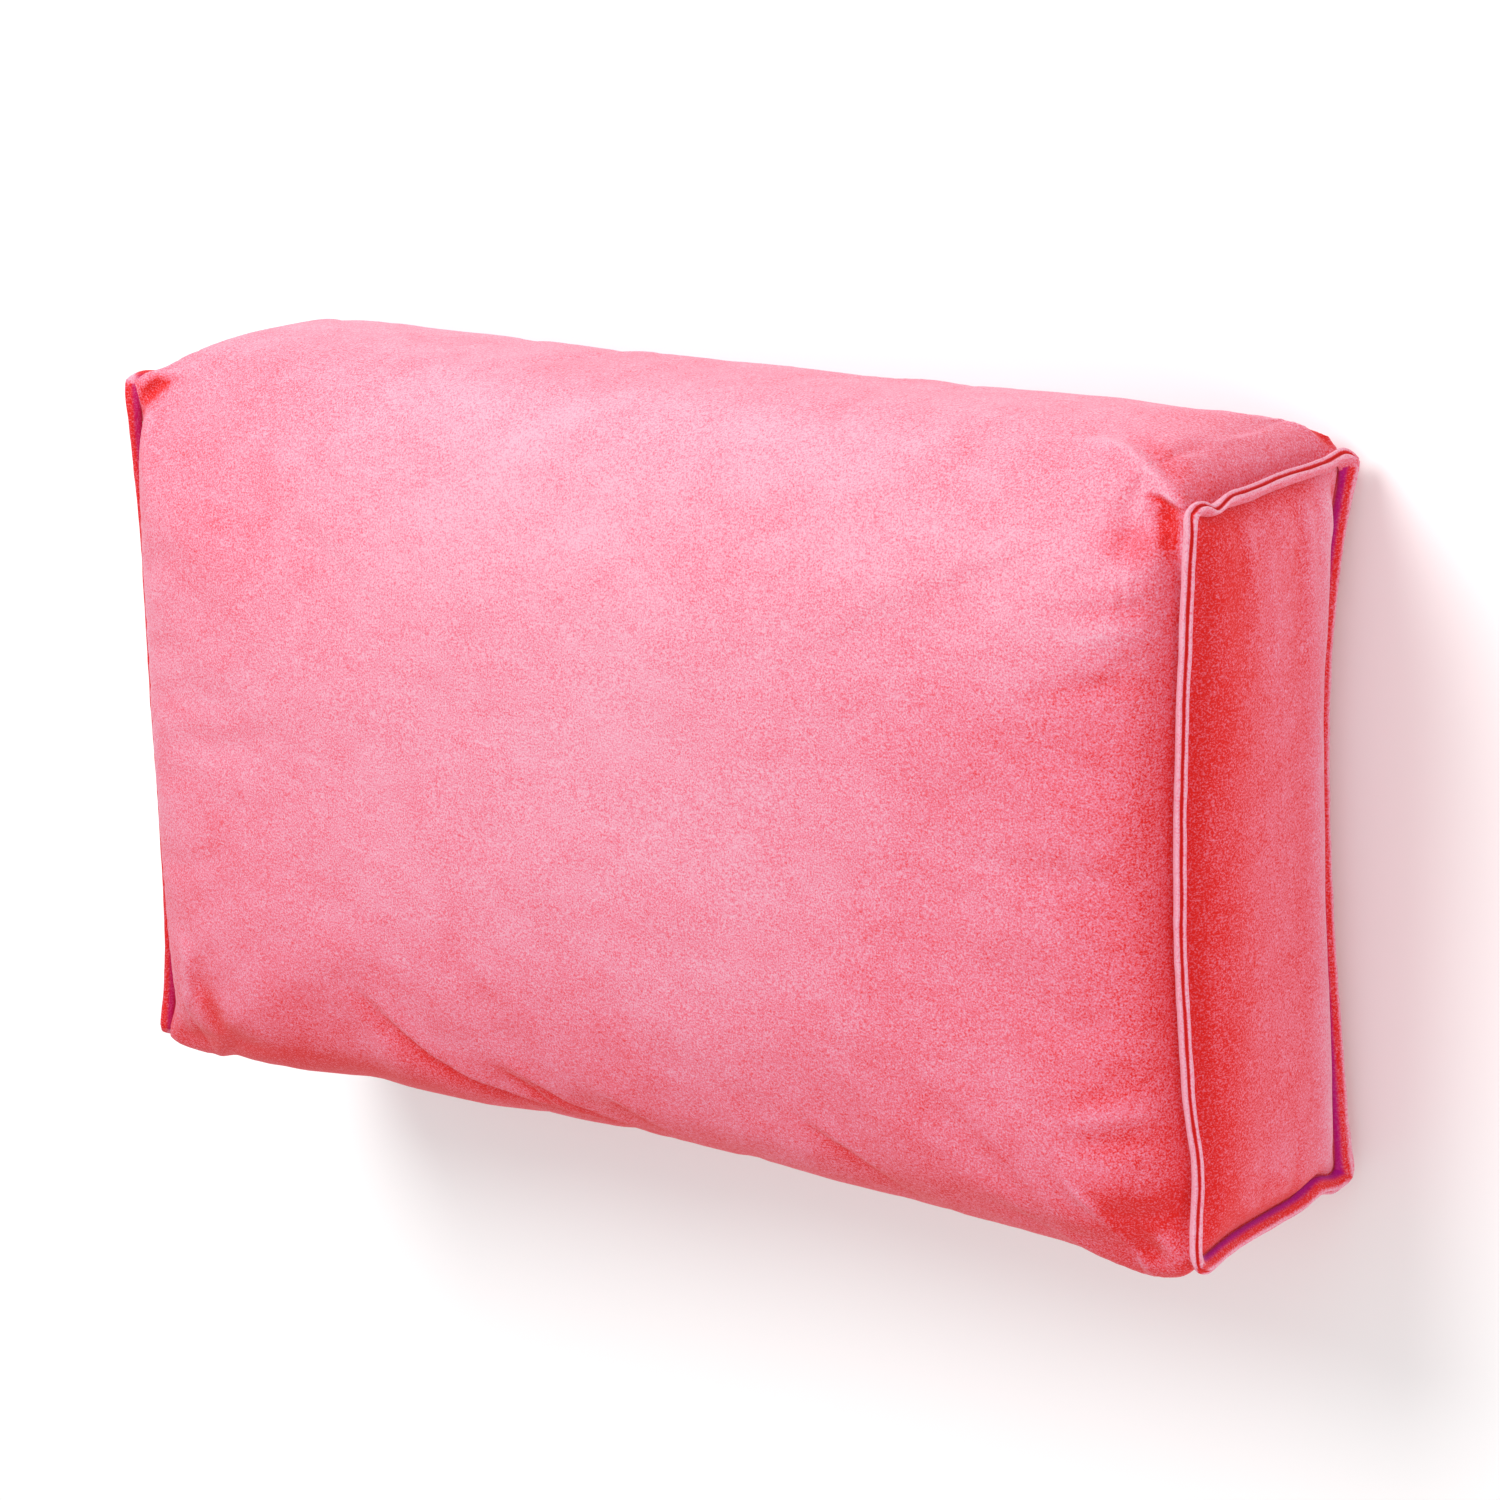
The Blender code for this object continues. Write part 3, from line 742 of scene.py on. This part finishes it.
# Plush: shader maths written as plain expressions on sockets
class Shade:
    def __init__(self, tree, socket):
        self.tree = tree
        self.socket = socket

    def node(self, kind, settings=None, **inputs):
        # One node: its settings first, then the values or links of its sockets
        made = self.tree.nodes.new(kind)
        for key, value in (settings or {}).items():
            if key == "stops":
                ramp = made.color_ramp
                while len(ramp.elements) < len(value):
                    ramp.elements.new(0.5)
                for element, (place, colour) in zip(ramp.elements, value):
                    element.position = place
                    element.color = (*colour, 1)
            else:
                setattr(made, key, value)
        for key, value in inputs.items():
            key = key.replace("_", " ")
            numbered = key[0] == "n" and key[1:].isdigit()      # n0 is the first socket
            socket = made.inputs[int(key[1:]) if numbered else key]
            if isinstance(value, Shade):
                self.tree.links.new(value.socket, socket)
            else:
                socket.default_value = value
        return made

    def out(self, made, name=0):
        return Shade(self.tree, made.outputs[name])

    def maths(self, operation, first, second=0.0, clamp=False):
        settings = {"operation": operation, "use_clamp": clamp}
        return self.out(self.node("ShaderNodeMath", settings, n0=first, n1=second))

    def __add__(self, other):
        return self.maths("ADD", self, other)

    def __radd__(self, other):
        return self.maths("ADD", other, self)

    def __sub__(self, other):
        return self.maths("SUBTRACT", self, other)

    def __rsub__(self, other):
        return self.maths("SUBTRACT", other, self)

    def __mul__(self, other):
        return self.maths("MULTIPLY", self, other)

    def __rmul__(self, other):
        return self.maths("MULTIPLY", other, self)

    def clamped(self):
        return self.maths("ADD", self, 0.0, clamp=True)

    def over(self, low):
        return self.maths("MAXIMUM", self, low)

    def under(self, high):
        return self.maths("MINIMUM", self, high)

    def between(self, low, high, toLow=0.0, toHigh=1.0):
        made = self.node("ShaderNodeMapRange", {"interpolation_type": "SMOOTHSTEP"}, Value=self,
                         From_Min=low, From_Max=high, To_Min=toLow, To_Max=toHigh)
        return self.out(made)

    def attribute(self, name):
        return self.out(self.node("ShaderNodeAttribute", {"attribute_name": name}), "Fac")


def noiseOf(coords, scale, detail, roughness, distortion=0.0):
    made = coords.node("ShaderNodeTexNoise", {"noise_dimensions": "3D"}, Vector=coords,
                       Scale=scale, Detail=detail, Roughness=roughness, Distortion=distortion)
    return coords.out(made, "Fac")


plushLook = {
    # from the lightest pink to the deepest red, which painted light and shade move along, and the
    # painted purple shade at the roots of the seams
    "tones": ((0.0, (0.64, 0.38, 0.47)), (0.25, (0.63, 0.265, 0.355)), (0.5, (0.62, 0.165, 0.24)),
              (0.75, (0.61, 0.085, 0.11)), (1.0, (0.55, 0.015, 0.012))),
    "paintedDeepestShade": (0.22, 0.0, 0.2), "mostShade": 0.96,
    "brushedAt": math.radians(28), "brushedOut": (1.0, 1.7, 1.2),
    # noise: times per metre, and how much of the tone it moves
    "grainPerMetre": 1300.0, "grain": 1.9,
    "fibrePerMetre": 351.0, "fibre": 0.3,
    "cloudsPerMetre": 42.0, "clouds": 0.40,
    "patchesPerMetre": 11.0, "patches": 0.26,
    "grooveFrom": 0.2, "grooveTo": 0.7, "inGroove": 1.15,
    "roughness": 0.78, "rougherGrain": 0.2,
    "fuzz": 0.5, "fuzzDepth": 0.0009,       # share, metres
    "surface": {
        "Specular IOR Level": 0.12,
        "Sheen Weight": 0.22, "Sheen Roughness": 0.45, "Sheen Tint": (1.0, 0.72, 0.8, 1.0),
        # painted glow: a faint red emission keeps the shaded cloth red, though the cloth is no lamp
        "Emission Color": (0.12, 0.0, 0.0, 1.0), "Emission Strength": 1.0,
    },
}

# Finish of each piece: its own tone, which paints shade on the end panels and light on the seams'
# lips, how much painted shade it gets where it faces the right end and underneath, and whether it
# has a seam's groove and flanks
plushFinishes = {
    "wrapPlush": {"tone": 0.275, "right": 0.30, "under": 0.48, "groove": False},
    "endPlush": {"tone": 0.49, "right": 0.16, "under": 0.3, "groove": False},
    "seamPlush": {"tone": 0.04, "right": 0.12, "under": 0.30, "groove": True},
}


def makePlush(name):
    finish = plushFinishes[name]
    material = bpy.data.materials.new(name)
    material.use_nodes = True
    tree = material.node_tree
    surface = tree.nodes["Principled BSDF"]
    start = Shade(tree, None)
    texture = start.node("ShaderNodeTexCoord")
    place = start.out(texture, "Object")
    facing = start.node("ShaderNodeSeparateXYZ", Vector=start.out(texture, "Normal"))
    rightward, upward = start.out(facing, "X"), start.out(facing, "Y")
    turn = start.node("ShaderNodeMapping", {"vector_type": "POINT"}, Vector=place,
                      Rotation=(0.0, 0.0, plushLook["brushedAt"]), Scale=plushLook["brushedOut"])
    brushed = start.out(turn, "Vector")
    grain = noiseOf(place, plushLook["grainPerMetre"], 2.0, 0.65)
    fibre = noiseOf(brushed, plushLook["fibrePerMetre"], 3.0, 0.6, 0.3)
    clouds = noiseOf(brushed, plushLook["cloudsPerMetre"], 5.0, 0.66, 0.4)
    patches = noiseOf(place, plushLook["patchesPerMetre"], 2.0, 0.5)
    # painted shade: redder where the surface faces the right end and where it faces down
    tone = finish["tone"] + finish["right"] * rightward.over(0.0)
    tone = tone + finish["under"] * (0.0 - upward).over(0.0)
    tone = tone + (clouds - 0.5) * plushLook["clouds"] + (patches - 0.5) * plushLook["patches"]
    # painted light and shade: the attribute turns creases, pockets, seam flanks and shaded faces
    # redder, and ridges lighter
    tone = (tone + start.attribute("redder")).under(plushLook["mostShade"])
    tone = tone + (grain - 0.5) * plushLook["grain"] + (fibre - 0.5) * plushLook["fibre"]
    # painted shade in the seam's groove
    if finish["groove"]:
        inGroove = start.attribute("inGroove")
        tone = tone + inGroove.between(plushLook["grooveFrom"], plushLook["grooveTo"],
                                       0.0, plushLook["inGroove"])
    ramp = start.node("ShaderNodeValToRGB", {"stops": plushLook["tones"]}, Fac=tone.clamped())
    colour = start.out(ramp, "Color")
    # painted purple shade at the roots of the seams' flanks
    if finish["groove"]:
        deep = start.attribute("deep").clamped()
        mix = start.node("ShaderNodeMix", {"data_type": "RGBA"}, n0=deep, n6=colour,
                         n7=(*plushLook["paintedDeepestShade"], 1.0))
        colour = start.out(mix, 2)
    rough = (plushLook["roughness"] + plushLook["rougherGrain"] * grain).clamped()
    height = grain * 0.6 + fibre * 0.5 + clouds * 0.5
    bump = start.node("ShaderNodeBump", Height=height, Strength=plushLook["fuzz"],
                      Distance=plushLook["fuzzDepth"])
    tree.links.new(colour.socket, surface.inputs["Base Color"])
    tree.links.new(rough.socket, surface.inputs["Roughness"])
    tree.links.new(bump.outputs["Normal"], surface.inputs["Normal"])
    for key, value in plushLook["surface"].items():
        surface.inputs[key].default_value = value
    return material


wrap.data.materials.append(makePlush("wrapPlush"))
endPlush = makePlush("endPlush")
seamPlush = makePlush("seamPlush")
for panel in (panelLeft, panelRight):
    panel.data.materials.append(endPlush)
for seam in (seamLeft, seamRight):
    seam.data.materials.append(seamPlush)
print("plush materials made")


# Studio: a pale floor, one large soft key from the upper left and an even room light
studioLook = {
    "roomLight": 0.70,
    "floorSize": 9.0, "floorTone": 0.97, "floorRoughness": 0.95, "floorShine": 0.1,
    "keyPower": 24.0, "keyPlace": (-0.45, 1.15, 1.35), "keySize": 1.1,
    "fillPower": 12.0, "fillPlace": (1.9, -0.6, 1.0), "fillSize": 1.4,
    "lightsAim": (0, 0, 0.07),
}

bpy.ops.object.select_all(action="DESELECT")
bpy.ops.mesh.primitive_plane_add(size=studioLook["floorSize"], location=(0, 0, 0))
floor = bpy.context.object
floor.name = "studioFloor"
floorPaint = bpy.data.materials.new("floorPaint")
floorPaint.use_nodes = True
floorSurface = floorPaint.node_tree.nodes["Principled BSDF"]
floorSurface.inputs["Base Color"].default_value = (*[studioLook["floorTone"]] * 3, 1.0)
floorSurface.inputs["Roughness"].default_value = studioLook["floorRoughness"]
floorSurface.inputs["Specular IOR Level"].default_value = studioLook["floorShine"]
floor.data.materials.append(floorPaint)


def addSoftbox(name, kind):
    data = bpy.data.lights.new(name, "AREA")
    data.shape = "DISK"
    data.size = studioLook[kind + "Size"]
    data.energy = studioLook[kind + "Power"]
    box = bpy.data.objects.new(name, data)
    bpy.context.scene.collection.objects.link(box)
    box.location = studioLook[kind + "Place"]
    away = Vector(studioLook["lightsAim"]) - box.location
    box.rotation_euler = away.to_track_quat("-Z", "Y").to_euler()


addSoftbox("keySoftbox", "key")
addSoftbox("fillSoftbox", "fill")
room = bpy.data.worlds.new("room")
bpy.context.scene.world = room
room.use_nodes = True
background = room.node_tree.nodes["Background"]
background.inputs["Color"].default_value = (1.0, 1.0, 1.0, 1.0)
background.inputs["Strength"].default_value = studioLook["roomLight"]
bpy.context.scene.view_settings.view_transform = "Standard"
bpy.context.scene.view_settings.look = "None"
print("studio made")
